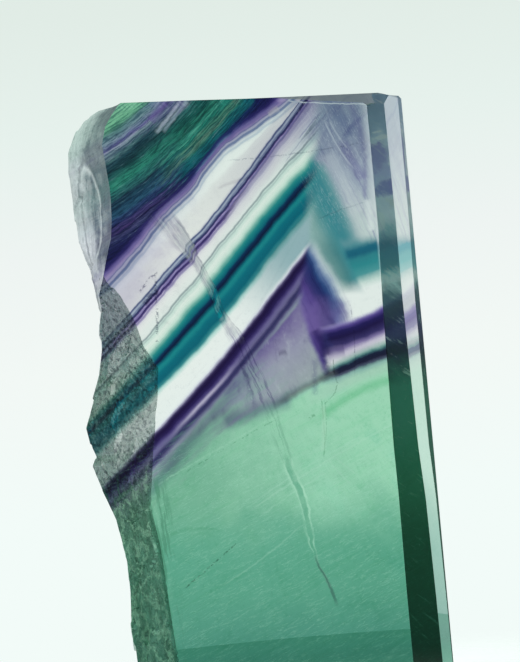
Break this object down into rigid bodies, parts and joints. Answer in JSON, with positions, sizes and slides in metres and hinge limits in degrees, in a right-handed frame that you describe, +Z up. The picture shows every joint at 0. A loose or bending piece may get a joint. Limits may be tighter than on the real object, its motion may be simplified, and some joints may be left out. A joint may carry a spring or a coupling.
{
  "type": "polished fluorite slice",
  "caption": "Clear polished slice of banded rainbow fluorite, standing on its sawn lower edge, with bevelled right side and top and a broken left side.",
  "frame": {"origin": "centre of the base of the bounding box, on the sawn lower edge that the slice stands on", "axes": "+Z up along the slice's height; the polished front face looks along -Y; the bevelled right side is at +X"},
  "size_m": [0.0398, 0.012, 0.0741],
  "materials": {
    "fluorite": "clear polished crystal with green, teal and purple growth bands; frosted where it is broken"
  },
  "bodies": {
    "root": {"fluorite_slab": "fluorite"}
  },
  "joints": []
}
